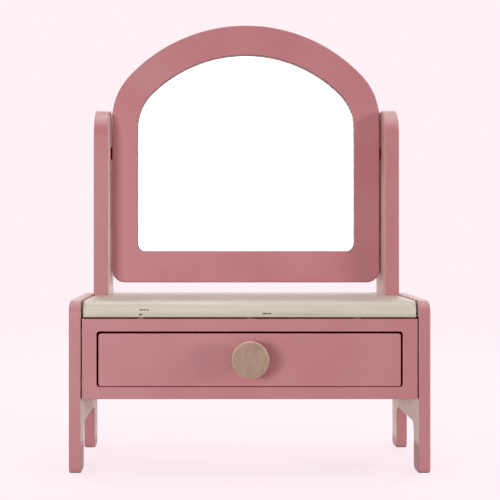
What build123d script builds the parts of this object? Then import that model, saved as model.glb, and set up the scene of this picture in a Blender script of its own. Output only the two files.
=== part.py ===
from build123d import *
import math
import os

# Table-top toy dressing table: a small carcass on two leg panels, one drawer, and an arched
# mirror that tilts between two posts. Millimetres. +X is to the right as one sits at it,
# +Y runs from the front to the rear, +Z is up. The origin is on the surface it stands on,
# midway in width and midway between the knob's face and the rear edges.

# ---- driving dimensions ----

# overall
width = 300.0
depth = 140.0
panel_top = 143.7
knob_reach = 20.0

# side panels, each with a cut-out that leaves two legs
panel_thickness = 10.0
panel_corner_radius = 11.5
leg_depth = 24.5
cutout_height = 39.0
cutout_radius = 8.0
foot_radius = 5.0
soft_edge = 1.4

# tabletop
tabletop_thickness = 14.2
tabletop_end_gap = 1.5
nosing_radius = 9.0
tabletop_rear_radius = 3.0
tabletop_end_radius = 2.8
tabletop_under_radius = 0.8

# front frame round the drawer window
frame_thickness = 12.0
frame_setback = 0.4
frame_side_gap = 0.7
frame_top_gap = 0.8
frame_bottom = 61.9
window_half_width = 127.0
window_bottom = 72.0
window_top = 118.0
window_radius = 2.5
frame_edge = 0.7

# back panel, floor panel and drawer guides
back_thickness = 9.0
floor_thickness = 5.0
floor_tongue = 4.0
guide_height = 18.0
guide_edge = 1.5
guide_side_clearance = 1.0
groove_clearance = 0.15

# drawer
drawer_gap = 1.6
drawer_gap_below = 0.5
drawer_front_thickness = 12.0
drawer_front_radius = 2.0
drawer_front_edge = 0.8
drawer_inset = 0.8
drawer_board = 8.0
drawer_side_edge = 1.2
drawer_side_height = 38.0
drawer_back_drop = 2.0
drawer_rear_gap = 0.6
drawer_bottom_thickness = 3.0
drawer_bottom_lift = 4.0
drawer_groove = 4.0

# knob
knob_radius = 15.2
knob_height = 96.3
knob_rim = 1.4
knob_disc = 8.5
knob_back_width = 3.0
knob_back_round = 2.94
knob_base_radius = 9.0
knob_neck_radius = 7.2
knob_neck_share = 0.4
knob_screw_radius = 2.0
knob_screw_head_radius = 3.8
knob_screw_head = 2.4
knob_screw_head_edge = 1.2
knob_screw_bite = 13.0

# mirror posts
post_thickness = 13.7
post_depth = 51.5
post_top = 313.1
post_corner_radius = 25.0
post_edge = 1.8

# mirror frame and what it holds
pivot_height = 273.6
mirror_thickness = 13.0
mirror_post_gap = 1.3
mirror_bottom = 154.2
mirror_crown = 391.5
mirror_crown_radius = 147.0
mirror_shoulder_radius = 58.5
mirror_corner_radius = 12.0
mirror_border = 24.0
mirror_border_bottom = 29.0
mirror_border_crown = 27.6
opening_shoulder_radius = 44.6
opening_corner_radius = 6.5
mirror_edge = 1.5
opening_edge = 1.0
mirror_lip = 4.5
plate_thickness = 2.0
pad_thickness = 2.9
board_thickness = 3.0
plate_rebate = 5.0
board_rebate = 10.0
board_screw_inset = 7.0
rebate_clearance = 0.3

# pivots
bolt_radius = 2.95
bolt_bore_radius = 3.0
bolt_head_radius = 5.0
bolt_head = 3.4
bolt_head_gap = 0.1
bolt_end_gap = 1.0
bolt_head_edge = 0.6
bolt_socket_radius = 2.3
bolt_socket_depth = 2.2
counterbore_radius = 5.4
counterbore_depth = 4.2
insert_radius = 4.0
insert_length = 12.0
insert_groove = 0.4
insert_grooves = 3
washer_radius = 5.8
washer_face_gap = 0.1
washer_edge = 0.3

# fastenings; a countersunk screw is its length, shank radius and head radius
dowel_radius = 3.0
dowel_half_length = 8.0
dowel_chamfer = 0.5
dowel_clearance = 0.05
drawer_dowel_radius = 2.0
drawer_dowel_half_length = 8.0
screw_clearance = 0.06
guide_screw = (21.0, 1.7, 3.4)
post_screw = (38.0, 2.0, 4.0)
board_screw = (9.0, 1.1, 2.2)
board_screw_angle = 35.0
board_screw_low_x = 60.0
board_screw_heights = (205.0, 258.0)
side_dowel_inset = 12.0
top_dowel_spacing = 90.0
guide_screw_setbacks = (35.0, 105.0)
post_screw_half_spacing = 11.0
drawer_dowel_rises = (15.0, 30.0)

# parts of a screw, as multiples of its shank radius
recess_length = 2.2
recess_width = 0.7
tip_length_share = 2.5
tip_end_share = 0.15

# how far a cutting shape overshoots a face, and how near an edge lies to be found
overcut = 1.0
found_within = 0.01

# ---- places worked out from them ----

front_y = (knob_reach - depth) / 2
rear_y = front_y + depth
inner_x = width / 2 - panel_thickness
tabletop_bottom = panel_top - tabletop_thickness
tabletop_half_width = inner_x - tabletop_end_gap

face_y = front_y + frame_setback
frame_back_y = face_y + frame_thickness
frame_half_width = inner_x - frame_side_gap
frame_top = tabletop_bottom - frame_top_gap
back_y = rear_y - frame_setback - back_thickness
floor_top = window_bottom

drawer_half_width = window_half_width - drawer_gap
drawer_bottom_z = window_bottom + drawer_gap_below
drawer_top_z = window_top - drawer_gap
drawer_front_back_y = face_y + drawer_front_thickness
box_half_width = drawer_half_width - drawer_inset
box_inner_x = box_half_width - drawer_board
box_rear_y = back_y - drawer_rear_gap
box_side_top = drawer_bottom_z + drawer_side_height
guide_inner_x = box_half_width + guide_side_clearance

post_outer_x = tabletop_half_width
post_inner_x = post_outer_x - post_thickness
post_front_y = rear_y - post_depth
pivot_y = rear_y - post_depth / 2

mirror_half_width = post_inner_x - mirror_post_gap
mirror_front_y = pivot_y - mirror_thickness / 2
mirror_back_y = mirror_front_y + mirror_thickness
opening_half_width = mirror_half_width - mirror_border
opening_crown_radius = mirror_crown_radius - mirror_border
plate_front_y = mirror_front_y + mirror_lip
pad_front_y = plate_front_y + plate_thickness
board_front_y = pad_front_y + pad_thickness + groove_clearance
board_back_y = board_front_y + board_thickness


# ---- shapes used more than once ----

def block(low, high):
    """Box from its lowest corner to its highest."""
    size = [b - a for a, b in zip(low, high)]
    return Pos(*low) * Box(*size, align=(Align.MIN, Align.MIN, Align.MIN))


def rod(start, direction, length, radius):
    """Round bar that runs from a point along a direction."""
    ends = (Align.CENTER, Align.CENTER, Align.MIN)
    return Plane(origin=start, z_dir=direction) * Cylinder(radius, length, align=ends)


def taper(start, direction, length, first_radius, last_radius):
    """Cone that runs from a point along a direction."""
    ends = (Align.CENTER, Align.CENTER, Align.MIN)
    shape = Cone(first_radius, last_radius, length, align=ends)
    return Plane(origin=start, z_dir=direction) * shape


def along(point, direction, distance):
    """Point at a distance from another along a direction."""
    return tuple(p + d * distance for p, d in zip(point, direction))


def on_both_sides(places):
    """The places on the right, and their mirror images on the left."""
    return [(side * x, y, z) for side in (-1, 1) for x, y, z in places]


def slab_xz(face, low_y, high_y):
    """Board whose outline lies in the X-Z plane, between two depths."""
    return extrude(Plane.XZ.offset(-high_y) * face, amount=high_y - low_y)


def slab_yz(face, low_x, high_x):
    """Board whose outline lies in the Y-Z plane, between two widths."""
    return extrude(Plane.YZ.offset(low_x) * face, amount=high_x - low_x)


def rectangle(low, high):
    """Flat rectangle from its lowest corner to its highest."""
    size = [b - a for a, b in zip(low, high)]
    return Pos(*low) * Rectangle(*size, align=(Align.MIN, Align.MIN))


def edges_at(shape, axis, value):
    """Edges of a shape that lie flat at one place along an axis."""
    return shape.edges().filter_by_position(axis, value - found_within, value + found_within)


def corners_at(face, height):
    """Corners of an upright outline at one height."""
    return face.vertices().filter_by_position(Axis.Y, height - found_within, height + found_within)


def arched_face(half_width, bottom, crown, crown_radius, shoulder_radius, corner_radius):
    """Arch of one wide crown arc and two tighter shoulders over straight sides."""
    shoulder_x = half_width - shoulder_radius
    crown_centre = (0, crown - crown_radius)
    lean = math.asin(shoulder_x / (crown_radius - shoulder_radius))
    spring = crown_centre[1] + (crown_radius - shoulder_radius) * math.cos(lean)
    shoulder_centre = (shoulder_x, spring)
    corner_centre = (half_width - corner_radius, bottom + corner_radius)

    def on_arc(centre, radius, angle):
        return (centre[0] + radius * math.sin(angle), centre[1] + radius * math.cos(angle))

    quarter = math.pi / 2
    corner_start = on_arc(corner_centre, corner_radius, 2 * quarter)
    corner_middle = on_arc(corner_centre, corner_radius, 1.5 * quarter)
    corner_end = on_arc(corner_centre, corner_radius, quarter)
    shoulder_start = on_arc(shoulder_centre, shoulder_radius, quarter)
    shoulder_middle = on_arc(shoulder_centre, shoulder_radius, (lean + quarter) / 2)
    join = on_arc(crown_centre, crown_radius, lean)
    crown_middle = on_arc(crown_centre, crown_radius, lean / 2)
    right = [
        Line((0, bottom), corner_start),
        ThreePointArc(corner_start, corner_middle, corner_end),
        Line(corner_end, shoulder_start),
        ThreePointArc(shoulder_start, shoulder_middle, join),
        ThreePointArc(join, crown_middle, (0, crown)),
    ]
    left = [mirror(edge, about=Plane.YZ) for edge in right]
    return make_face(right + left)


def opening_face(grow=0.0):
    """Outline of the mirror opening, made larger all round by a distance."""
    return arched_face(
        opening_half_width + grow,
        mirror_bottom + mirror_border_bottom - grow,
        mirror_crown - mirror_border_crown + grow,
        opening_crown_radius + grow,
        opening_shoulder_radius + grow,
        opening_corner_radius + grow,
    )


def cross_recess(start, direction, radius):
    """Cross-shaped driver slot, sunk half its radius into a screw's head."""
    length = recess_length * radius
    width_across = recess_width * radius
    cross = Box(length, width_across, radius) + Box(width_across, length, radius)
    return Plane(origin=start, z_dir=direction) * cross


def wood_screw(start, direction, length, radius, head_radius):
    """Countersunk wood screw with a cross recess, its head's flat face at the start."""
    head_height = head_radius - radius
    tip_length = tip_length_share * radius
    shank_length = length - head_height - tip_length
    neck = along(start, direction, head_height)
    tip_start = along(neck, direction, shank_length)
    screw = taper(start, direction, head_height, head_radius, radius)
    screw += rod(neck, direction, shank_length, radius)
    screw += taper(tip_start, direction, tip_length, radius, tip_end_share * radius)
    return screw - cross_recess(start, direction, radius)


def screw_hole(start, direction, length, radius, head_radius):
    """Countersunk hole with a little room all round its screw."""
    room = screw_clearance
    head_height = head_radius - radius
    mouth = along(start, direction, -room)
    sink = taper(mouth, direction, head_height + room, head_radius + 2 * room, radius + room)
    return sink + rod(start, direction, length + room, radius + room)


def dowel(middle, direction, radius=dowel_radius, half_length=dowel_half_length):
    """Round dowel with chamfered ends, centred on the joint that it holds."""
    start = along(middle, direction, -half_length)
    bar = rod(start, direction, 2 * half_length, radius)
    return chamfer(bar.edges().filter_by(GeomType.CIRCLE), dowel_chamfer)


def dowel_hole(middle, direction, radius=dowel_radius, half_length=dowel_half_length):
    """Hole for a dowel, a little larger than it."""
    reach = half_length + dowel_clearance
    start = along(middle, direction, -reach)
    return rod(start, direction, 2 * reach, radius + dowel_clearance)


# ---- where the fastenings go ----

rightward = (1, 0, 0)
leftward = (-1, 0, 0)
backward = (0, 1, 0)
forward = (0, -1, 0)
upward = (0, 0, 1)

frame_middle_y = face_y + frame_thickness / 2
back_middle_y = back_y + back_thickness / 2
side_dowel_heights = (frame_bottom + side_dowel_inset, frame_top - side_dowel_inset)
frame_dowel_places = [(inner_x, frame_middle_y, z) for z in side_dowel_heights]
back_dowel_places = [(inner_x, back_middle_y, z) for z in side_dowel_heights]
top_dowel_spread = (-top_dowel_spacing, 0.0, top_dowel_spacing)
frame_top_dowel_places = [(x, frame_middle_y, tabletop_bottom) for x in top_dowel_spread]
back_top_dowel_places = [(x, back_middle_y, tabletop_bottom) for x in top_dowel_spread]

guide_middle_z = floor_top + guide_height / 2
guide_screw_places = [(guide_inner_x, front_y + setback, guide_middle_z)
                      for setback in guide_screw_setbacks]

post_middle_x = (post_inner_x + post_outer_x) / 2
post_screw_shifts = (-post_screw_half_spacing, post_screw_half_spacing)
post_screw_places = [(post_middle_x, pivot_y + shift, tabletop_bottom) for shift in post_screw_shifts]

drawer_dowel_heights = [drawer_bottom_z + rise for rise in drawer_dowel_rises]
front_corner = (box_half_width - drawer_board / 2, drawer_front_back_y)
rear_corner = (box_inner_x, box_rear_y - drawer_board / 2)
front_dowel_places = on_both_sides([(*front_corner, z) for z in drawer_dowel_heights])
rear_dowel_places = on_both_sides([(*rear_corner, z) for z in drawer_dowel_heights])
drawer_dowel_size = (drawer_dowel_radius, drawer_dowel_half_length)

# along the right half of the ledge that the mirror's backboard lies on
ledge_x = opening_half_width + board_screw_inset
ledge_low_z = mirror_bottom + mirror_border_bottom - board_screw_inset
ledge_crown_radius = opening_crown_radius + board_screw_inset
ledge_angle = math.radians(board_screw_angle)
ledge_crown_x = ledge_crown_radius * math.sin(ledge_angle)
ledge_crown_z = (mirror_crown - mirror_crown_radius + mirror_border - mirror_border_crown
                 + ledge_crown_radius * math.cos(ledge_angle))
board_screw_places = on_both_sides([
    (board_screw_low_x, board_back_y, ledge_low_z),
    *[(ledge_x, board_back_y, z) for z in board_screw_heights],
    (ledge_crown_x, board_back_y, ledge_crown_z),
])


# ---- carcass ----

def side_panel():
    """Right side panel: a board whose lower edge is cut away between two legs."""
    board = rectangle((front_y, 0), (rear_y, panel_top))
    cutout = rectangle((front_y + leg_depth, 0), (rear_y - leg_depth, cutout_height))
    outline = board - cutout
    outline = fillet(corners_at(outline, 0), foot_radius)
    outline = fillet(corners_at(outline, cutout_height), cutout_radius)
    outline = fillet(corners_at(outline, panel_top), panel_corner_radius)
    panel = slab_yz(outline, inner_x, width / 2)
    rims = edges_at(panel, Axis.X, inner_x) + edges_at(panel, Axis.X, width / 2)
    panel = fillet(rims, soft_edge)
    room = groove_clearance
    panel -= block(
        (inner_x - overcut, frame_back_y - room, floor_top - floor_thickness - room),
        (inner_x + floor_tongue + room, back_y + room, floor_top + room),
    )
    for place in frame_dowel_places + back_dowel_places:
        panel -= dowel_hole(place, rightward)
    for place in guide_screw_places:
        panel -= screw_hole(place, rightward, *guide_screw)
    return panel


def tabletop():
    """Wooden top with a large rounded nosing along its front."""
    outline = rectangle((front_y, tabletop_bottom), (rear_y, panel_top))
    outline = fillet(corners_at(outline, panel_top).sort_by(Axis.X)[0], nosing_radius)
    outline = fillet(corners_at(outline, panel_top).sort_by(Axis.X)[-1], tabletop_rear_radius)
    top = slab_yz(outline, -tabletop_half_width, tabletop_half_width)
    ends = edges_at(top, Axis.X, -tabletop_half_width) + edges_at(top, Axis.X, tabletop_half_width)
    upper_ends = [edge for edge in ends if edge.center().Z > tabletop_bottom + found_within]
    top = fillet(upper_ends, tabletop_end_radius)
    top = fillet(edges_at(top, Axis.Z, tabletop_bottom), tabletop_under_radius)
    for place in frame_top_dowel_places + back_top_dowel_places:
        top -= dowel_hole(place, upward)
    for place in on_both_sides(post_screw_places):
        top -= screw_hole(place, upward, *post_screw)
    return top


def front_frame():
    """Front board with the window that the drawer comes through."""
    board = rectangle((-frame_half_width, frame_bottom), (frame_half_width, frame_top))
    window = rectangle((-window_half_width, window_bottom), (window_half_width, window_top))
    window = fillet(window.vertices(), window_radius)
    frame = slab_xz(board - window, face_y, frame_back_y)
    frame = fillet(edges_at(frame, Axis.Y, face_y), frame_edge)
    for place in on_both_sides(frame_dowel_places):
        frame -= dowel_hole(place, rightward)
    for place in frame_top_dowel_places:
        frame -= dowel_hole(place, upward)
    return frame


def back_panel():
    """Board that closes the rear of the drawer bay."""
    outside = back_y + back_thickness
    panel = block((-inner_x, back_y, frame_bottom), (inner_x, outside, tabletop_bottom))
    panel = fillet(edges_at(panel, Axis.Y, outside), frame_edge)
    for place in on_both_sides(back_dowel_places):
        panel -= dowel_hole(place, rightward)
    for place in back_top_dowel_places:
        panel -= dowel_hole(place, upward)
    return panel


def floor_panel():
    """Thin board that the drawer runs on, let into grooves in the side panels."""
    reach = inner_x + floor_tongue
    return block((-reach, frame_back_y, floor_top - floor_thickness), (reach, back_y, floor_top))


def drawer_guide():
    """Rail on the right side panel that keeps the drawer straight."""
    top = floor_top + guide_height
    guide = block((guide_inner_x, frame_back_y, floor_top), (inner_x, back_y, top))
    top_edges = edges_at(guide, Axis.Z, top).filter_by(Axis.Y)
    guide = fillet(top_edges.sort_by(Axis.X)[0], guide_edge)
    for place in guide_screw_places:
        guide -= screw_hole(place, rightward, *guide_screw)
    return guide


def mirror_post():
    """Right post, standing on the tabletop, with the pivot bolt's stepped hole."""
    outline = rectangle((post_front_y, panel_top), (rear_y, post_top))
    outline = fillet(corners_at(outline, post_top), post_corner_radius)
    post = slab_yz(outline, post_inner_x, post_outer_x)
    rims = edges_at(post, Axis.X, post_inner_x) + edges_at(post, Axis.X, post_outer_x)
    post = fillet([edge for edge in rims if edge.center().Z > panel_top + found_within], post_edge)
    pivot = (0, pivot_y, pivot_height)
    bore_start = along(pivot, rightward, post_inner_x - overcut)
    head_start = along(pivot, rightward, post_outer_x - counterbore_depth)
    post -= rod(bore_start, rightward, post_thickness, bolt_bore_radius)
    post -= rod(head_start, rightward, counterbore_depth + overcut, counterbore_radius)
    for place in post_screw_places:
        post -= screw_hole(place, upward, *post_screw)
    return post


# ---- mirror ----

def mirror_frame():
    """Arched frame: a front lip, a rebate for the plate and a wider one for the board."""
    outline = arched_face(mirror_half_width, mirror_bottom, mirror_crown, mirror_crown_radius,
                          mirror_shoulder_radius, mirror_corner_radius)
    frame = slab_xz(outline, mirror_front_y, mirror_back_y)
    rims = edges_at(frame, Axis.Y, mirror_front_y) + edges_at(frame, Axis.Y, mirror_back_y)
    frame = fillet(rims, mirror_edge)
    frame -= slab_xz(opening_face(), mirror_front_y - overcut, mirror_back_y + overcut)
    front_face = frame.faces().sort_by(Axis.Y)[0]
    frame = fillet(front_face.inner_wires()[0].edges(), opening_edge)
    frame -= slab_xz(opening_face(plate_rebate), plate_front_y, mirror_back_y + overcut)
    frame -= slab_xz(opening_face(board_rebate), board_front_y, mirror_back_y + overcut)
    pivot = (0, pivot_y, pivot_height)
    for direction in (leftward, rightward):
        start = along(pivot, direction, mirror_half_width - insert_length - dowel_clearance)
        frame -= rod(start, direction, insert_length + overcut, insert_radius + dowel_clearance)
    for place in board_screw_places:
        frame -= screw_hole(place, forward, *board_screw)
    return frame


def mirror_plate():
    """Flat mirror plate behind the frame's lip."""
    return slab_xz(opening_face(plate_rebate - rebate_clearance), plate_front_y, pad_front_y)


def mirror_pad():
    """Foam sheet that presses the plate against the lip."""
    face = opening_face(plate_rebate - rebate_clearance)
    return slab_xz(face, pad_front_y, pad_front_y + pad_thickness)


def mirror_backboard():
    """Thin board screwed into the rear rebate."""
    board = slab_xz(opening_face(board_rebate - rebate_clearance), board_front_y, board_back_y)
    for place in board_screw_places:
        board -= screw_hole(place, forward, *board_screw)
    return board


def pivot_bolt():
    """Right pivot bolt: a socket head in the post's counterbore and a plain shank."""
    pivot = (0, pivot_y, pivot_height)
    shank_end = mirror_half_width - insert_length + bolt_end_gap
    under_head = post_outer_x - counterbore_depth + bolt_head_gap
    head = rod(along(pivot, rightward, under_head), rightward, bolt_head, bolt_head_radius)
    head = fillet(edges_at(head, Axis.X, under_head + bolt_head), bolt_head_edge)
    shank = rod(along(pivot, rightward, shank_end), rightward, under_head - shank_end, bolt_radius)
    shank = chamfer(edges_at(shank, Axis.X, shank_end), bolt_head_edge)
    socket_plane = Plane(origin=along(pivot, rightward, under_head + bolt_head), z_dir=leftward)
    socket = extrude(socket_plane * RegularPolygon(bolt_socket_radius, 6), amount=bolt_socket_depth)
    return head + shank - socket


def pivot_insert():
    """Right threaded insert in the mirror frame's edge, with grooves that grip the wood."""
    pivot = (0, pivot_y, pivot_height)
    start = mirror_half_width - insert_length
    insert = rod(along(pivot, rightward, start), rightward, insert_length, insert_radius)
    for groove in range(1, insert_grooves + 1):
        place = start + insert_length * groove / (insert_grooves + 1)
        ring_start = along(pivot, rightward, place)
        ring = rod(ring_start, rightward, insert_groove, insert_radius + overcut)
        ring -= rod(ring_start, rightward, insert_groove, insert_radius - insert_groove)
        insert -= ring
    bore_start = along(pivot, rightward, start - overcut)
    bore_length = insert_length + 2 * overcut
    return insert - rod(bore_start, rightward, bore_length, bolt_bore_radius)


def pivot_washer():
    """Right spacer between the post and the mirror frame."""
    pivot = (0, pivot_y, pivot_height)
    thickness = mirror_post_gap - washer_face_gap
    start = along(pivot, rightward, mirror_half_width)
    washer = rod(start, rightward, thickness, washer_radius)
    washer = fillet(washer.edges().filter_by(GeomType.CIRCLE), washer_edge)
    bore_start = along(start, leftward, overcut)
    return washer - rod(bore_start, rightward, thickness + 2 * overcut, bolt_bore_radius)


# ---- drawer ----

groove_low_z = drawer_bottom_z + drawer_bottom_lift
groove_high_z = groove_low_z + drawer_bottom_thickness


def drawer_groove_cut():
    """Room for the drawer bottom's edges in the four boards round it."""
    room = groove_clearance
    return block(
        (-box_inner_x - drawer_groove, drawer_front_back_y - drawer_groove, groove_low_z - room),
        (box_inner_x + drawer_groove, box_rear_y - drawer_board + drawer_groove, groove_high_z + room),
    )


def drawer_front():
    """Inset drawer front with softly rounded corners."""
    outline = rectangle((-drawer_half_width, drawer_bottom_z), (drawer_half_width, drawer_top_z))
    outline = fillet(outline.vertices(), drawer_front_radius)
    board = slab_xz(outline, face_y, drawer_front_back_y)
    board = fillet(edges_at(board, Axis.Y, face_y), drawer_front_edge)
    board -= drawer_groove_cut()
    bore_start = (0, face_y - overcut, knob_height)
    bore_length = drawer_front_thickness + 2 * overcut
    board -= rod(bore_start, backward, bore_length, knob_screw_radius + screw_clearance)
    for place in front_dowel_places:
        board -= dowel_hole(place, backward, *drawer_dowel_size)
    return board


def drawer_side():
    """Right drawer side, grooved for the bottom."""
    board = block((box_inner_x, drawer_front_back_y, drawer_bottom_z),
                  (box_half_width, box_rear_y, box_side_top))
    board = fillet(edges_at(board, Axis.Z, box_side_top).filter_by(Axis.Y), drawer_side_edge)
    board -= drawer_groove_cut()
    for place in front_dowel_places:
        board -= dowel_hole(place, backward, *drawer_dowel_size)
    for place in rear_dowel_places:
        board -= dowel_hole(place, rightward, *drawer_dowel_size)
    return board


def drawer_back():
    """Drawer back, a little lower than the sides."""
    top = box_side_top - drawer_back_drop
    inside_y = box_rear_y - drawer_board
    board = block((-box_inner_x, inside_y, drawer_bottom_z), (box_inner_x, box_rear_y, top))
    board = fillet(edges_at(board, Axis.Z, top).filter_by(Axis.X), drawer_side_edge)
    board -= drawer_groove_cut()
    for place in rear_dowel_places:
        board -= dowel_hole(place, rightward, *drawer_dowel_size)
    return board


def drawer_bottom():
    """Thin bottom, let into grooves on all four sides."""
    reach = drawer_groove - groove_clearance
    return block(
        (-box_inner_x - reach, drawer_front_back_y - reach, groove_low_z),
        (box_inner_x + reach, box_rear_y - drawer_board + reach, groove_high_z),
    )


def drawer_knob():
    """Turned knob: a flared neck under a thick disc with a rounded rim."""
    length = knob_reach + frame_setback
    disc_start = length - knob_disc
    neck = (knob_neck_radius, knob_neck_share * disc_start)
    flare = (knob_radius - knob_back_width, disc_start)
    profile = make_face([
        Line((0, 0), (knob_base_radius, 0)),
        ThreePointArc((knob_base_radius, 0), neck, flare),
        Line(flare, (knob_radius, disc_start)),
        Line((knob_radius, disc_start), (knob_radius, length)),
        Line((knob_radius, length), (0, length)),
        Line((0, length), (0, 0)),
    ])
    rim = profile.vertices().group_by(Axis.X)[-1].sort_by(Axis.Y)[-1]
    profile = fillet(rim, knob_rim)
    back = profile.vertices().group_by(Axis.X)[-1].sort_by(Axis.Y)[0]
    profile = fillet(back, knob_back_round)
    knob = revolve(Plane.XZ * profile, axis=Axis.Z)
    knob = Plane(origin=(0, face_y, knob_height), z_dir=forward) * knob
    bore_start = (0, face_y + overcut, knob_height)
    bore_length = overcut + knob_screw_bite + screw_clearance
    return knob - rod(bore_start, forward, bore_length, knob_screw_radius + screw_clearance)


def knob_screw():
    """Pan-head screw from inside the drawer into the knob."""
    start = (0, drawer_front_back_y, knob_height)
    length = drawer_front_thickness + knob_screw_bite
    head = rod(start, backward, knob_screw_head, knob_screw_head_radius)
    head = fillet(edges_at(head, Axis.Y, drawer_front_back_y + knob_screw_head), knob_screw_head_edge)
    top = along(start, backward, knob_screw_head)
    screw = head + rod(start, forward, length, knob_screw_radius)
    return screw - cross_recess(top, forward, knob_screw_radius)


# ---- groups of identical fastenings ----

def dowels(places, direction, *size):
    """One dowel at each place."""
    return Compound([dowel(place, direction, *size) for place in places])


def screws(places, direction, size):
    """One countersunk screw at each place."""
    return Compound([wood_screw(place, direction, *size) for place in places])


def drawer_dowels():
    """Dowels that hold the drawer's four corners."""
    front = [dowel(place, backward, *drawer_dowel_size) for place in front_dowel_places]
    rear = [dowel(place, rightward, *drawer_dowel_size) for place in rear_dowel_places]
    return Compound(front + rear)


# ---- the whole piece ----

single_parts = {
    "tabletop": tabletop(),
    "front_frame": front_frame(),
    "back_panel": back_panel(),
    "floor_panel": floor_panel(),
    "tabletop_dowels": dowels(frame_top_dowel_places + back_top_dowel_places, upward),
    "mirror_frame": mirror_frame(),
    "mirror_plate": mirror_plate(),
    "mirror_pad": mirror_pad(),
    "mirror_backboard": mirror_backboard(),
    "backboard_screws": screws(board_screw_places, forward, board_screw),
    "drawer_front": drawer_front(),
    "drawer_back": drawer_back(),
    "drawer_bottom": drawer_bottom(),
    "drawer_dowels": drawer_dowels(),
    "drawer_knob": drawer_knob(),
    "knob_screw": knob_screw(),
}

right_hand_parts = {
    "side_panel": side_panel(),
    "side_dowels": dowels(frame_dowel_places + back_dowel_places, rightward),
    "drawer_guide": drawer_guide(),
    "guide_screws": screws(guide_screw_places, rightward, guide_screw),
    "mirror_post": mirror_post(),
    "post_screws": screws(post_screw_places, upward, post_screw),
    "pivot_bolt": pivot_bolt(),
    "pivot_insert": pivot_insert(),
    "pivot_washer": pivot_washer(),
    "drawer_side": drawer_side(),
}

os.makedirs("parts", exist_ok=True)
for name, part in single_parts.items():
    export_step(part, f"parts/{name}.step")
for name, part in right_hand_parts.items():
    export_step(part, f"parts/{name}_right.step")
    export_step(mirror(part, about=Plane.YZ), f"parts/{name}_left.step")
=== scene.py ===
from math import cos, pi, radians, sin

import bmesh
import bpy
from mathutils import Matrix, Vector


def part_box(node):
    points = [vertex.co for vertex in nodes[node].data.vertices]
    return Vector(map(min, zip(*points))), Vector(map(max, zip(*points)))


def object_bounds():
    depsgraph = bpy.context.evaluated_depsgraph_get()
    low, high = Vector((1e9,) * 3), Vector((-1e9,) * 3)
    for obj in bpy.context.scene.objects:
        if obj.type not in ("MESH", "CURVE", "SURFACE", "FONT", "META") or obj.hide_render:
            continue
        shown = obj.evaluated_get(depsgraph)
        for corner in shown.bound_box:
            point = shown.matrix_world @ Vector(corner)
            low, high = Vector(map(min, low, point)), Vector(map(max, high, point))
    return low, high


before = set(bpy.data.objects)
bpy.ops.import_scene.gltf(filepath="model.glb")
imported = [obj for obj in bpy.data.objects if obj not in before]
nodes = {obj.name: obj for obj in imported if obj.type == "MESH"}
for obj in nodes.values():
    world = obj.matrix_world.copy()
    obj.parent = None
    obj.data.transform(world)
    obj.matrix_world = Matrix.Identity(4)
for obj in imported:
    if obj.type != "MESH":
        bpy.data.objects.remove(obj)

# Looks for the toy dressing table. Everything is in metres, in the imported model's own frame:
# +X to the right, +Y from the front to the rear, +Z up, the origin on the floor.

cad_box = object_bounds()
MM = 0.001


def both(name):
    """The names of a left and right pair of nodes."""
    return tuple(f"{name}_{side}" for side in ("left", "right"))


def linear(red, green, blue):
    """Shader colour from the 0-255 values of a colour swatch."""
    def one(value):
        value /= 255.0
        return value / 12.92 if value <= 0.04045 else ((value + 0.055) / 1.055) ** 2.4
    return (one(red), one(green), one(blue), 1.0)


# The view transform takes this much off as black, which deepens the shadows and their colour.
BLACK = 0.024


def seen(red, green, blue):
    """Light that shows on screen as the 0-255 values of a colour swatch."""
    return tuple(part * (1.0 - BLACK) + BLACK for part in linear(red, green, blue)[:3]) + (1.0,)


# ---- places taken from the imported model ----

FRONT_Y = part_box("side_panel_left")[0].y
INNER_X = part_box("side_panel_right")[0].x
POST_LOW, POST_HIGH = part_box("mirror_post_right")
TOP_LOW_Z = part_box("tabletop")[0].z
KNOB_LOW, KNOB_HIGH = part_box("drawer_knob")
KNOB_MIDDLE_Z = (KNOB_LOW.z + KNOB_HIGH.z) / 2
BOARD_REAR_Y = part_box("drawer_front")[1].y
FRAME_LOW_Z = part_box("front_frame")[0].z
BACK_INSIDE_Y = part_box("back_panel")[0].y
PLATE_LOW, PLATE_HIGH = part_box("mirror_plate")
PLATE_MIDDLE_Z = (PLATE_LOW.z + PLATE_HIGH.z) / 2

# ---- colours ----

STUDIO = seen(255, 241, 246)
PINK = linear(187, 127, 131)
# A darker pink for the posts and mirror frame: painted shade, for the lesser light that reaches
# these upper parts.
PINK_UPPER_SHADED = linear(182, 118, 122)
PINK_PALE = linear(204, 156, 158)
# Paler pink for faces that look up: a painted sheen of the light from above, with a little wear on
# the post tops.
PINK_TOP_SHEEN = linear(226, 194, 190)
# A redder pink for the walls of the narrow gaps by the drawer: painted shade, red from light
# bounced between painted walls.
PINK_GAP_SHADE = linear(214, 96, 100)
PINK_DEEP = linear(176, 114, 119)
BARE = linear(240, 228, 221)
BARE_DARK = linear(220, 206, 198)
# Dark tones for the darker low feet, and for the painted shade on the walls of the mirror opening.
DARK_TONE = linear(84, 58, 58)
DARK_TONE_PALE = linear(104, 74, 74)
# Dark maroon for the joints between parts: painted shade of the narrow gaps.
DARK_GAP_SHADE = linear(104, 34, 38)
TOP_PALE = linear(216, 211, 196)
TOP_MID = linear(200, 193, 178)
TOP_DARK = linear(180, 171, 153)
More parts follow.
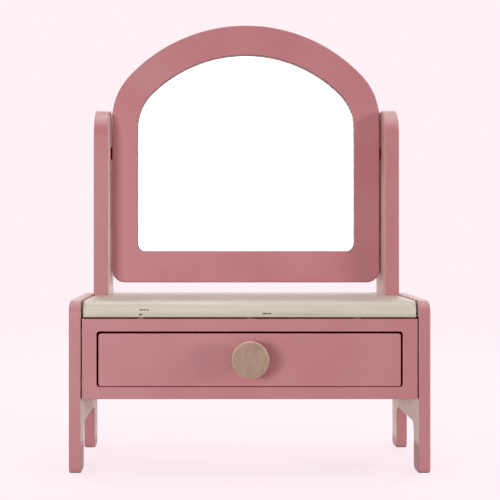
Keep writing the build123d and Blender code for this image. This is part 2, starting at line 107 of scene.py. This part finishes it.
# Darker greenish tone low on the tabletop's edge: a greenish tone, with painted shade where the
# edge turns under.
TOP_GREENISH_SHADE = linear(188, 192, 172)
FLECK = linear(74, 62, 56)
KNOB_FACE = linear(172, 148, 128)
KNOB_FACE_DARK = linear(154, 130, 110)
KNOB_SIDE = linear(228, 196, 178)
GUIDE_PALE = linear(214, 196, 168)
GUIDE_DARK = linear(188, 164, 130)
DOWEL_PALE = linear(212, 186, 148)
DOWEL_DARK = linear(184, 152, 112)
VENEER_PALE = linear(214, 194, 162)
VENEER_DARK = linear(184, 156, 120)
HARDBOARD_PALE = linear(180, 149, 114)
HARDBOARD_MID = linear(172, 140, 106)
HARDBOARD_DARK = linear(128, 98, 70)
FOAM_DARK = linear(206, 202, 196)
FOAM_PALE = linear(236, 234, 230)
SILVER = linear(252, 252, 252)
SILVER_EDGE = linear(196, 204, 202)
STEEL_PALE = linear(205, 206, 210)
STEEL_DARK = linear(158, 160, 166)
BRASS_PALE = linear(214, 182, 110)
BRASS_DARK = linear(168, 132, 70)
WASHER_DARK = linear(96, 36, 36)
WASHER_PALE = linear(116, 52, 52)
NO_LIGHT = (0.0, 0.0, 0.0, 1.0)


# ---- node building ----

class Shader:
    """A material with one Principled shader, and short names for the nodes that feed it."""

    def __init__(self, name, roughness=0.5, metallic=0.0):
        self.material = bpy.data.materials.new(name)
        self.material.use_nodes = True
        self.tree = self.material.node_tree
        self.tree.nodes.clear()
        output = self.add("ShaderNodeOutputMaterial")
        self.shader = self.add("ShaderNodeBsdfPrincipled")
        self.link(self.shader.outputs["BSDF"], output.inputs["Surface"])
        self.set("Roughness", roughness)
        self.set("Metallic", metallic)
        place = self.add("ShaderNodeTexCoord")
        self.coords = place.outputs["Object"]
        self.x, self.y, self.z = self.split(self.coords)
        self.normal_x, self.normal_y, self.normal_z = self.split(place.outputs["Normal"])
        self.abs_x = self.math("ABSOLUTE", self.x)

    def add(self, kind, **settings):
        node = self.tree.nodes.new(kind)
        for key, value in settings.items():
            setattr(node, key, value)
        return node

    def link(self, source, target):
        self.tree.links.new(source, target)

    def put(self, target, value):
        """Links a socket, or sets a plain value."""
        if isinstance(value, bpy.types.NodeSocket):
            self.link(value, target)
        else:
            target.default_value = value

    def set(self, name, value):
        self.put(self.shader.inputs[name], value)

    def split(self, vector):
        node = self.add("ShaderNodeSeparateXYZ")
        self.link(vector, node.inputs[0])
        return node.outputs

    def math(self, operation, a, b=0.0):
        node = self.add("ShaderNodeMath", operation=operation)
        self.put(node.inputs[0], a)
        self.put(node.inputs[1], b)
        return node.outputs[0]

    def times(self, *values):
        result = values[0]
        for value in values[1:]:
            result = self.math("MULTIPLY", result, value)
        return result

    def plus(self, *values):
        result = values[0]
        for value in values[1:]:
            result = self.math("ADD", result, value)
        return result

    def minus(self, a, b):
        return self.math("SUBTRACT", a, b)

    def stretch(self, scale, turn=0.0):
        """Coordinates scaled along each axis, and turned by an angle about Y."""
        node = self.add("ShaderNodeMapping")
        self.link(self.coords, node.inputs["Vector"])
        node.inputs["Rotation"].default_value = (0.0, turn, 0.0)
        node.inputs["Scale"].default_value = scale
        return node.outputs[0]

    def noise(self, source, scale=1.0, detail=4.0, roughness=0.5, distortion=0.0):
        node = self.add("ShaderNodeTexNoise")
        self.link(source, node.inputs["Vector"])
        for key, value in (("Scale", scale), ("Detail", detail), ("Roughness", roughness),
                           ("Distortion", distortion)):
            node.inputs[key].default_value = value
        return node.outputs["Fac"]

    def cells(self, source, scale):
        node = self.add("ShaderNodeTexVoronoi")
        self.link(source, node.inputs["Vector"])
        node.inputs["Scale"].default_value = scale
        return node.outputs["Distance"]

    def ramp(self, value, start, end, at_start=0.0, at_end=1.0):
        """Goes smoothly from at_start, where the value is start, to at_end, where it is end."""
        node = self.add("ShaderNodeMapRange", interpolation_type="SMOOTHSTEP")
        self.put(node.inputs["Value"], value)
        pairs = (start, end, at_start, at_end) if start <= end else (end, start, at_end, at_start)
        for key, number in zip(("From Min", "From Max", "To Min", "To Max"), pairs):
            node.inputs[key].default_value = number
        return node.outputs["Result"]

    def spread(self, noise, at_low=0.0, at_high=1.0):
        """Spreads the middle values of a noise, where most of it lies, over a range."""
        return self.ramp(noise, 0.3, 0.7, at_low, at_high)

    def mix(self, factor, a, b):
        node = self.add("ShaderNodeMix", data_type="RGBA")
        self.put(node.inputs["Factor"], factor)
        self.put(node.inputs[6], a)
        self.put(node.inputs[7], b)
        return node.outputs[2]

    def bump(self, height, distance):
        node = self.add("ShaderNodeBump")
        node.inputs["Strength"].default_value = 1.0
        node.inputs["Distance"].default_value = distance
        self.link(height, node.inputs["Height"])
        return node.outputs["Normal"]

    def surface(self, colour, roughness, height, relief):
        """Sets colour, roughness, and a bump of relief metres for a height of 1."""
        self.set("Base Color", colour)
        self.set("Roughness", roughness)
        self.set("Normal", self.bump(height, relief))
        return self.material

    def wobble(self, size):
        """A small uneven length, for a paint line that isn't quite straight."""
        return self.times(self.minus(self.noise(self.coords, scale=60.0, detail=3.0), 0.5), size)

    def edges(self):
        """1 on rounded edges and 0 on faces that look straight along an axis."""
        straight, turned_away = 0.995, 0.80
        largest = self.math("ABSOLUTE", self.normal_x)
        for part in (self.normal_y, self.normal_z):
            largest = self.math("MAXIMUM", largest, self.math("ABSOLUTE", part))
        return self.ramp(largest, straight, turned_away)


def along(axis, long_scale, cross_scale):
    """Mapping scale of a grain that runs along an axis."""
    return tuple(long_scale if name == axis else cross_scale for name in "XYZ")


# ---- wood ----

def wood_tones(s, axis, pale, dark, ring_scale=26.0, pore_scale=1400.0):
    """Colour, height and streaks of a plain sawn board: growth rings, fine streaks, short pores."""
    rings_in_range = 9.0
    bands = s.noise(s.stretch(along(axis, 1.6, ring_scale)), detail=3.0, distortion=0.6)
    rings = s.ramp(s.math("PINGPONG", s.times(bands, rings_in_range), 0.5), 0.05, 0.45)
    streaks = s.noise(s.stretch(along(axis, 9.0, 420.0)), detail=5.0, roughness=0.62)
    pores = s.noise(s.stretch(along(axis, 70.0, pore_scale)), detail=2.0)
    pores = s.ramp(pores, 0.60, 0.72)
    amount = s.plus(s.times(rings, 0.34), s.times(s.ramp(streaks, 0.35, 0.68), 0.50),
                    s.times(pores, 0.22))
    colour = s.mix(s.math("MINIMUM", amount, 1.0), pale, dark)
    height = s.plus(s.times(streaks, 0.6), s.times(pores, -0.8))
    return colour, height, streaks


def plain_wood(name, axis, pale, dark):
    """Unfinished sawn wood."""
    s = Shader(name)
    colour, height, streaks = wood_tones(s, axis, pale, dark)
    roughness = s.spread(streaks, 0.55, 0.68)
    return s.surface(colour, roughness, height, relief=0.06 * MM)


# Dark marks in the tabletop's front edge, in mm: middle X and Z, half length and half height, and
# then how dark each is, from 0 to 1.
FLECKS = (
    (-90.0, 136.0, 1.5, 0.62, 1.0),
    (-87.2, 136.1, 1.3, 0.58, 1.0),
    (-84.6, 136.0, 1.2, 0.55, 0.9),
    (-90.4, 132.2, 1.6, 0.72, 1.0),
    (12.6, 133.0, 2.1, 0.62, 1.0),
    (16.3, 133.0, 1.8, 0.58, 0.95),
    (44.0, 132.3, 27.0, 0.22, 0.34),
    (-116.0, 135.0, 3.4, 0.22, 0.30),
    (-118.0, 130.9, 20.0, 0.20, 0.30),
)


def tabletop_wood(name):
    """Pale pine with a fine figure, darker and greenish low on its edge, partly painted shade, a
    dark line of painted shade along its bottom edge, and a few dark marks in the front.
    """
    s = Shader(name)
    colour, height, streaks = wood_tones(s, "X", TOP_PALE, TOP_MID, ring_scale=18.0,
                                         pore_scale=1100.0)
    figure = s.noise(s.stretch(along("X", 2.2, 150.0)), detail=6.0, roughness=0.66, distortion=0.25)
    colour = s.mix(s.ramp(figure, 0.52, 0.70, 0.0, 0.55), colour, TOP_DARK)
    level = s.plus(s.z, s.wobble(1.2 * MM))
    low = s.ramp(level, TOP_LOW_Z + 4.2 * MM, TOP_LOW_Z + 2.4 * MM, 0.0, 0.7)
    colour = s.mix(low, colour, TOP_GREENISH_SHADE)
    # Dark along the bottom edge: painted shade of the gap above the front frame.
    dark_gap_shade = s.ramp(s.z, TOP_LOW_Z + 0.9 * MM, TOP_LOW_Z + 0.3 * MM, 0.0, 0.9)
    colour = s.mix(dark_gap_shade, colour, DARK_GAP_SHADE)
    front = s.ramp(s.y, FRONT_Y + 6.0 * MM, FRONT_Y + 3.0 * MM)
    uneven_z = s.plus(s.z, s.wobble(0.4 * MM))
    for x, z, half_length, half_height, darkness in FLECKS:
        off_x = s.math("DIVIDE", s.minus(s.x, x * MM), half_length * MM)
        off_z = s.math("DIVIDE", s.minus(uneven_z, z * MM), half_height * MM)
        squared = s.plus(s.times(off_x, off_x), s.times(off_z, off_z))  # 1 on the mark's outline
        inside = s.ramp(squared, 1.3, 0.5)
        colour = s.mix(s.times(inside, front, darkness), colour, FLECK)
    roughness = s.spread(streaks, 0.34, 0.42)
    return s.surface(colour, roughness, height, relief=0.03 * MM)


def knob_wood(name):
    """Turned beech: fine rings round the axis, short flecks, a duller end-grain face, and paler
    sides, partly a painted highlight on the rounded rim.
    """
    s = Shader(name)
    slope = 0.35
    tool_marks = 9000.0  # radians per metre, so a mark every 0.7 mm
    off_z = s.minus(s.z, KNOB_MIDDLE_Z)
    radius = s.math("SQRT", s.plus(s.times(s.x, s.x), s.times(off_z, off_z)))
    grain = s.noise(s.stretch((260.0, 60.0, 90.0), slope), detail=5.0, roughness=0.6)
    fleck = s.noise(s.stretch((1500.0, 300.0, 420.0), slope), detail=2.0)
    fleck = s.ramp(fleck, 0.58, 0.70)
    turned = s.math("SINE", s.times(radius, tool_marks))
    dark_grain = s.ramp(grain, 0.30, 0.72)
    face = s.mix(s.times(dark_grain, 0.75), KNOB_FACE, KNOB_FACE_DARK)
    # Paler sides and rim: side grain, partly a painted highlight.
    side = s.mix(s.times(dark_grain, 0.45), KNOB_SIDE, KNOB_FACE)
    on_face = s.ramp(s.y, KNOB_LOW.y + 0.35 * MM, KNOB_LOW.y + 0.05 * MM)
    colour = s.mix(s.times(fleck, 0.35), s.mix(on_face, side, face), KNOB_FACE_DARK)
    roughness = s.spread(grain, 0.46, 0.58)
    height = s.plus(s.times(grain, 0.6), s.times(fleck, -0.5), s.times(turned, 0.08))
    return s.surface(colour, roughness, height, relief=0.05 * MM)


def plywood(name, axis, layers):
    """Veneer faces, with the layers showing as stripes on the edges."""
    s = Shader(name)
    colour, height, streaks = wood_tones(s, axis, VENEER_PALE, VENEER_DARK)
    low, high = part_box(name)
    layer = (high.z - low.z) / layers
    depth = s.math("PINGPONG", s.minus(s.z, low.z), layer)
    stripe = s.ramp(depth, 0.2 * layer, 0.8 * layer, 0.0, 0.7)
    on_edge = s.ramp(s.math("ABSOLUTE", s.normal_z), 0.8, 0.4)
    colour = s.mix(s.times(on_edge, stripe), colour, VENEER_DARK)
    roughness = s.spread(streaks, 0.58, 0.70)
    return s.surface(colour, roughness, height, relief=0.05 * MM)


def hardboard(name):
    """Pressed brown fibre, darker in specks."""
    s = Shader(name)
    fibre = s.noise(s.coords, scale=900.0, detail=5.0, roughness=0.7)
    cloud = s.noise(s.coords, scale=40.0, detail=3.0)
    colour = s.mix(s.spread(cloud), HARDBOARD_PALE, HARDBOARD_MID)
    colour = s.mix(s.ramp(fibre, 0.52, 0.72, 0.0, 0.7), colour, HARDBOARD_DARK)
    roughness = s.spread(fibre, 0.62, 0.78)
    return s.surface(colour, roughness, fibre, relief=0.08 * MM)


# ---- masks for the paint: each takes the shader and gives 0 to 1 ----

def bare_inside(face_x):
    """Leaves the face at |X| = face_x bare, up to where its rounded edges start."""
    def mask(s):
        distance = s.plus(s.minus(s.abs_x, face_x), s.wobble(0.5 * MM))
        return s.ramp(distance, 0.45 * MM, 0.10 * MM)
    return mask


BEHIND, BEFORE = 1.0, -1.0


def bare_past(plane_y, side):
    """Leaves bare what lies behind a plane or before it."""
    def mask(s):
        place = s.plus(s.y, s.wobble(0.6 * MM))
        return s.ramp(place, plane_y - side * 0.6 * MM, plane_y - side * 0.2 * MM)
    return mask


def deep_walls(amount):
    """The walls of a board that faces the front, from just behind its rounded edges, which get the
    redder painted shade of the narrow gaps.
    """
    def mask(s):
        wall = s.ramp(s.math("ABSOLUTE", s.normal_y), 0.6, 0.2)
        return s.times(wall, s.ramp(s.y, FRONT_Y + 0.9 * MM, FRONT_Y + 1.9 * MM), amount)
    return mask


def wash_and_reflection(face_x):
    """Bare wood that shows through a thin wash of paint on the face at |X| = face_x, more so lower
    down and on the left. The pinker upper part beside the mirror frame is partly painted pink light
    reflected from the frame."""
    def mask(s):
        patchy = s.ramp(s.noise(s.coords, scale=30.0), 0.35, 0.65, 0.20, 0.40)
        lower = s.ramp(s.z, POST_HIGH.z - 30.0 * MM, POST_HIGH.z - 120.0 * MM, 0.0, 0.28)
        left = s.ramp(s.x, 0.0, -face_x, 0.0, 0.35)
        return s.times(bare_inside(face_x)(s), s.math("MINIMUM", s.plus(patchy, lower, left), 1.0))
    return mask


def opening_wall_shade(s):
    """The walls of the mirror opening, darkened as painted shade. They are the faces
    that look back at the mirror's middle from far enough away."""
    near, far = 30.0 * MM, 75.0 * MM
    outward = s.plus(s.times(s.normal_x, s.x), s.times(s.normal_z, s.minus(s.z, PLATE_MIDDLE_Z)))
    return s.times(s.ramp(outward, -near, -far), 0.9)


def frame_gap_shade(s):
    """The outer edges of the front frame, where it meets the side panels: painted shade of the gap.
    """
    beside = s.ramp(s.abs_x, INNER_X - 0.9 * MM, INNER_X - 0.5 * MM)
    behind = s.ramp(s.y, FRONT_Y + 0.1 * MM, FRONT_Y + 0.7 * MM)
    return s.times(beside, behind)


def panel_gap_shade(s):
    """The strip of a side panel's inner face that the front frame and the tabletop's end cover,
    dark as painted shade of the gap.
    """
    above = s.ramp(s.z, FRAME_LOW_Z - 0.2 * MM, FRAME_LOW_Z + 0.6 * MM)
    behind = s.ramp(s.y, FRONT_Y + 0.3 * MM, FRONT_Y + 1.0 * MM)
    before = s.ramp(s.y, FRONT_Y + 16.0 * MM, FRONT_Y + 12.0 * MM)
    inside = s.ramp(s.abs_x, INNER_X + 0.9 * MM, INNER_X + 0.4 * MM)
    beside_top = s.ramp(s.z, TOP_LOW_Z + 1.0 * MM, TOP_LOW_Z - 1.0 * MM, 0.35, 1.0)
    return s.times(above, behind, before, inside, beside_top)


def dipped_feet(s):
    """The inner faces above the feet, which were dipped in paint, the front ones deeper."""
    front_z, rear_z, soft = 20.0 * MM, 5.0 * MM, 8.0 * MM
    shallower = s.ramp(s.y, -20.0 * MM, 30.0 * MM, 0.0, front_z - rear_z)
    level = s.plus(s.z, shallower, s.wobble(5.0 * MM))
    return s.times(bare_inside(INNER_X)(s), s.ramp(level, front_z, front_z + soft))


def dark_low_feet(s):
    """Darker in patches on the rounded edges that the feet stand on, and a little on the inner
    faces low in the front legs.
    """
    patchy = s.ramp(s.noise(s.coords, scale=140.0, detail=3.0), 0.30, 0.60, 0.35, 0.90)
    rim = s.times(patchy, s.ramp(s.z, 2.4 * MM, 0.6 * MM))
    low = s.ramp(s.z, 27.0 * MM, 20.0 * MM)
    in_front = s.ramp(s.y, 20.0 * MM, 0.0)
    inside = s.times(bare_inside(INNER_X)(s), low, in_front, 0.24)
    return s.math("MAXIMUM", rim, inside)


# ---- paint and the other materials ----

def paint(name, axis, bare=None, dark=None, gap_shade=None, dark_gap_shade=None, top_sheen=0.25,
          upward_range=(0.25, 0.95), pink=PINK):
    """Satin pink paint over wood, brushed along an axis, and paler by up to top_sheen on faces that
    look up, a painted sheen of the light from above. The masks are bare, of what is left unpainted,
    dark, of the darker low feet and the painted shade on the mirror opening's walls, gap_shade, of
    gap walls with a redder painted shade, and dark_gap_shade, of the painted shade in the joints."""
    s = Shader(name)
    cloud = s.noise(s.coords, scale=17.0, detail=3.0)
    brushed = s.noise(s.stretch(along(axis, 9.0, 170.0)), detail=4.0)
    peel = s.noise(s.coords, scale=620.0, detail=2.0)
    colour = s.mix(s.spread(cloud, 0.0, 0.22), pink, PINK_PALE)
    colour = s.mix(s.ramp(brushed, 0.38, 0.72, 0.0, 0.12), colour, PINK_DEEP)
    # Paler on faces that look up: a painted sheen of the light from above.
    colour = s.mix(s.ramp(s.normal_z, *upward_range, 0.0, top_sheen), colour, PINK_TOP_SHEEN)
    patchy = s.ramp(s.noise(s.coords, scale=95.0), 0.30, 0.75, 0.18, 0.62)
    # Paler in patches on the rounded edges: a painted highlight where they catch the light, with a
    # little rubbed wear.
    colour = s.mix(s.times(s.edges(), patchy), colour, PINK_PALE)
    # Redder on the gap walls: painted shade of the narrow gaps.
    if gap_shade is not None:
        colour = s.mix(gap_shade(s), colour, PINK_GAP_SHADE)
    height = s.plus(s.times(brushed, 0.55), s.times(peel, 0.45))
    roughness = s.plus(s.spread(cloud, 0.36, 0.44), s.times(peel, 0.05))
    if bare is not None:
        mask = bare(s)
        wood, wood_height, _ = wood_tones(s, axis, BARE, BARE_DARK)
        colour = s.mix(mask, colour, wood)
        height = s.mix(mask, height, wood_height)
        roughness = s.plus(roughness, s.times(mask, 0.18))
    # Darker where the dark mask says: the low feet, and painted shade on the mirror opening's
    # walls.
    if dark is not None:
        colour = s.mix(dark(s), colour, s.mix(s.spread(peel), DARK_TONE, DARK_TONE_PALE))
    # Dark in the joints: painted shade of the gaps between parts.
    if dark_gap_shade is not None:
        colour = s.mix(dark_gap_shade(s), colour, DARK_GAP_SHADE)
    return s.surface(colour, roughness, height, relief=0.045 * MM)


def foam(name):
    """White foam with fine open bubbles."""
    s = Shader(name)
    bubbles = s.cells(s.coords, 900.0)
    colour = s.mix(s.ramp(bubbles, 0.15, 0.75), FOAM_DARK, FOAM_PALE)
    roughness = s.ramp(bubbles, 0.1, 0.8, 0.85, 0.95)
    return s.surface(colour, roughness, bubbles, relief=0.25 * MM)


def mirror_glass(name):
    """Silvered plate with faint wiping marks, a little dust, and slightly darker side edges."""
    s = Shader(name, metallic=1.0)
    smear = s.noise(s.stretch((9.0, 1.0, 22.0), turn=0.5), detail=5.0, distortion=0.8)
    dust = s.ramp(s.noise(s.coords, scale=1300.0, detail=2.0), 0.68, 0.78)
    edge = s.ramp(s.abs_x, PLATE_HIGH.x - 2.0 * MM, PLATE_HIGH.x, 0.0, 0.6)
    s.set("Base Color", s.mix(edge, SILVER, SILVER_EDGE))
    s.set("Roughness", s.plus(s.ramp(smear, 0.45, 0.75, 0.008, 0.035), s.times(dust, 0.03)))
    return s.material


def metal(name, pale, dark, roughness):
    """Plain metal, tarnished in patches and finely scratched, around a middle roughness."""
    s = Shader(name, metallic=1.0)
    scratch = s.noise(s.stretch((500.0, 500.0, 2600.0)), roughness=0.7)
    tarnish = s.noise(s.coords, scale=260.0)
    colour = s.mix(s.ramp(tarnish, 0.35, 0.70, 0.0, 0.8), pale, dark)
    scratched = s.spread(scratch, roughness - 0.08, roughness + 0.10)
    return s.surface(colour, scratched, scratch, relief=0.01 * MM)


def washer(name):
    """Dull dark red fibre, as dark as it looks in the gap beside the post: partly painted shade."""
    s = Shader(name)
    grit = s.noise(s.coords, scale=1500.0, detail=3.0)
    cloud = s.noise(s.coords, scale=300.0, detail=2.0)
    colour = s.mix(s.spread(cloud), WASHER_DARK, WASHER_PALE)
    roughness = s.spread(grit, 0.55, 0.72)
    return s.surface(colour, roughness, grit, relief=0.03 * MM)


def dress(material, *names):
    """Gives nodes a material in place of their own."""
    for name in names:
        slots = nodes[name].data.materials
        slots.clear()
        slots.append(material)


dress(paint("side_paint", "Z", dipped_feet, dark=dark_low_feet, dark_gap_shade=panel_gap_shade, top_sheen=0.6,
            upward_range=(0.70, 1.0)), *both("side_panel"))
dress(paint("post_paint", "Z", wash_and_reflection(POST_LOW.x), top_sheen=0.48, upward_range=(0.10, 0.85),
            pink=PINK_UPPER_SHADED), *both("mirror_post"))
dress(paint("front_paint", "X", bare_past(BOARD_REAR_Y, BEHIND), gap_shade=deep_walls(0.7),
            dark_gap_shade=frame_gap_shade), "front_frame")
dress(paint("drawer_front_paint", "X", bare_past(BOARD_REAR_Y, BEHIND), gap_shade=deep_walls(0.35)),
      "drawer_front")
dress(paint("drawer_paint_y", "Y"), *both("drawer_side"))
dress(paint("drawer_paint_x", "X"), "drawer_back")
dress(paint("back_paint", "X", bare_past(BACK_INSIDE_Y, BEFORE)), "back_panel")
dress(paint("mirror_paint", "Z", dark=opening_wall_shade, pink=PINK_UPPER_SHADED), "mirror_frame")
dress(tabletop_wood("tabletop_wood"), "tabletop")
dress(knob_wood("knob_wood"), "drawer_knob")
dress(plain_wood("guide_wood", "Y", GUIDE_PALE, GUIDE_DARK), *both("drawer_guide"))
dress(plain_wood("dowel_wood", "X", DOWEL_PALE, DOWEL_DARK),
      "tabletop_dowels", "drawer_dowels", *both("side_dowels"))
dress(plywood("drawer_bottom", "X", layers=3), "drawer_bottom")
dress(plywood("floor_panel", "X", layers=5), "floor_panel")
dress(hardboard("hardboard"), "mirror_backboard")
dress(foam("foam"), "mirror_pad")
dress(mirror_glass("mirror_glass"), "mirror_plate")
dress(metal("plated_steel", STEEL_PALE, STEEL_DARK, roughness=0.30), *both("guide_screws"),
      *both("post_screws"), *both("pivot_bolt"), "backboard_screws", "knob_screw")
dress(metal("brass", BRASS_PALE, BRASS_DARK, roughness=0.34), *both("pivot_insert"))
dress(washer("washer"), *both("pivot_washer"))


# ---- camera: straight at the front, a little left of the middle, at drawer-to-mirror height ----

CAMERA_PLACE = (-0.0310, FRONT_Y - 0.9517, 0.1984)
SENSOR_MM = 36.0
LENS_MM = 82.71
SHIFT = (0.0755, -0.0308)
CLIP = (0.01, 100.0)
LEVEL = (pi / 2, 0.0, 0.0)


def add_object(name, data):
    thing = bpy.data.objects.new(name, data)
    bpy.context.scene.collection.objects.link(thing)
    return thing


def make_camera():
    data = bpy.data.cameras.new("camera")
    data.sensor_width = SENSOR_MM
    data.lens = LENS_MM
    data.shift_x, data.shift_y = SHIFT
    data.clip_start, data.clip_end = CLIP
    camera = add_object("camera", data)
    camera.location = CAMERA_PLACE
    camera.rotation_euler = LEVEL
    bpy.context.scene.camera = camera


# ---- studio ----

AIM = Vector((0.0, 0.0, 0.18))
DOME_RADIUS = 7.0
# Each soft light on the aim: azimuth and elevation in degrees, distance, size, and strength, which
# is what it gives a white surface that faces it, as a share of pure white.
SOFTBOXES = {
    "key": (-29.0, 3.0, 1.8, (0.60, 0.42), 0.455),
    "fill": (62.0, 3.0, 1.8, (0.50, 0.40), 0.36),
    "top": (0.0, 90.0, 2.0, (1.5, 1.5), 0.47),
    "rear": (180.0, 30.0, 2.0, (1.6, 0.8), 0.20),
    "rear_left": (-142.0, 16.0, 2.0, (0.8, 0.8), 0.20),
    "rear_right": (142.0, 16.0, 2.0, (0.8, 0.8), 0.26),
}
CARD_PLACE = (0.04, -1.75, 0.42)
CARD_SIZE = (0.8, 0.8)
CARD_RADIANCE = 1.2
FLOOR_GAP = 0.02 * MM
FLOOR_ALBEDO = 0.22
FLOOR_GLOW = 0.84
FLOOR_FADE = (0.30, 1.5)
SKY = 0.12
BOUNCE = 0.40
SKY_TINT = linear(255, 222, 226)
HORIZON = (-0.10, 0.02)


def area_light(name, place, turn, size, energy):
    data = bpy.data.lights.new(name, "AREA")
    data.shape = "RECTANGLE"
    data.size, data.size_y = size
    data.energy = energy
    light = add_object(name, data)
    light.location = place
    light.rotation_euler = turn
    light.visible_camera = False


def softbox(name, azimuth, elevation, distance, size, strength):
    """A soft light that faces the aim, with the energy that gives its strength there."""
    turn, rise = radians(azimuth), radians(elevation)
    toward = Vector((sin(turn) * cos(rise), -cos(turn) * cos(rise), sin(rise)))
    area_light(name, AIM + toward * distance, toward.to_track_quat("Z", "Y").to_euler(), size,
               strength * pi ** 2 * distance ** 2)


def reflector(name, place, size, radiance):
    """A white card of even brightness behind the camera, which the upright mirror shows."""
    area_light(name, place, LEVEL, size, radiance * pi * size[0] * size[1])


def stage_object(name, operator, **settings):
    """An object of DOME_RADIUS, made by one bmesh operator."""
    mesh = bpy.data.meshes.new(name)
    form = bmesh.new()
    operator(form, radius=DOME_RADIUS, **settings)
    form.to_mesh(mesh)
    form.free()
    return add_object(name, mesh)


def make_floor():
    """Pale paper that glows nearly as bright as it looks, so only a faint shadow shows on it."""
    floor = stage_object("floor", bmesh.ops.create_circle, cap_ends=True, segments=96)
    floor.location.z = min(cad_box[0].z, 0.0) - FLOOR_GAP
    s = Shader("floor_paper", roughness=0.9)
    s.set("Specular IOR Level", 0.0)
    reach = s.math("SQRT", s.plus(s.times(s.x, s.x), s.times(s.y, s.y)))
    far = s.ramp(reach, *FLOOR_FADE)
    mottle = s.noise(s.coords, scale=300.0, detail=3.0)
    paper = tuple(FLOOR_ALBEDO * part for part in STUDIO[:3]) + (1.0,)
    s.set("Base Color", s.mix(far, s.mix(s.times(mottle, 0.04), paper, STUDIO), NO_LIGHT))
    s.set("Emission Color", STUDIO)
    s.set("Emission Strength", s.plus(s.times(far, 1.0 - FLOOR_GLOW), FLOOR_GLOW))
    floor.data.materials.append(s.material)
    floor.visible_diffuse = False


def make_dome():
    """The backdrop: an even pale dome that only the camera and reflections see."""
    dome = stage_object("backdrop", bmesh.ops.create_icosphere, subdivisions=4)
    material = bpy.data.materials.new("backdrop_paper")
    material.use_nodes = True
    tree = material.node_tree
    tree.nodes.clear()
    output = tree.nodes.new("ShaderNodeOutputMaterial")
    glow = tree.nodes.new("ShaderNodeEmission")
    glow.inputs["Color"].default_value = STUDIO
    tree.links.new(glow.outputs[0], output.inputs["Surface"])
    dome.data.materials.append(material)
    dome.visible_diffuse = False
    dome.visible_transmission = False
    dome.visible_shadow = False


def make_world():
    """Even light from above, and the light that a pale floor throws back from below."""
    world = bpy.data.worlds.new("world")
    bpy.context.scene.world = world
    world.use_nodes = True
    tree = world.node_tree
    background = tree.nodes["Background"]
    direction = tree.nodes.new("ShaderNodeTexCoord")
    split = tree.nodes.new("ShaderNodeSeparateXYZ")
    level = tree.nodes.new("ShaderNodeMapRange")
    tree.links.new(direction.outputs["Generated"], split.inputs[0])
    tree.links.new(split.outputs["Z"], level.inputs["Value"])
    for key, value in zip(("From Min", "From Max", "To Min", "To Max"), (*HORIZON, BOUNCE, SKY)):
        level.inputs[key].default_value = value
    background.inputs["Color"].default_value = SKY_TINT
    tree.links.new(level.outputs["Result"], background.inputs["Strength"])


make_camera()
for light_name, settings in SOFTBOXES.items():
    softbox(light_name, *settings)
reflector("card", CARD_PLACE, CARD_SIZE, CARD_RADIANCE)
make_floor()
make_dome()
make_world()
view = bpy.context.scene.view_settings
view.view_transform = "Standard"
view.use_curve_mapping = True
view.curve_mapping.black_level = (BLACK, BLACK, BLACK)
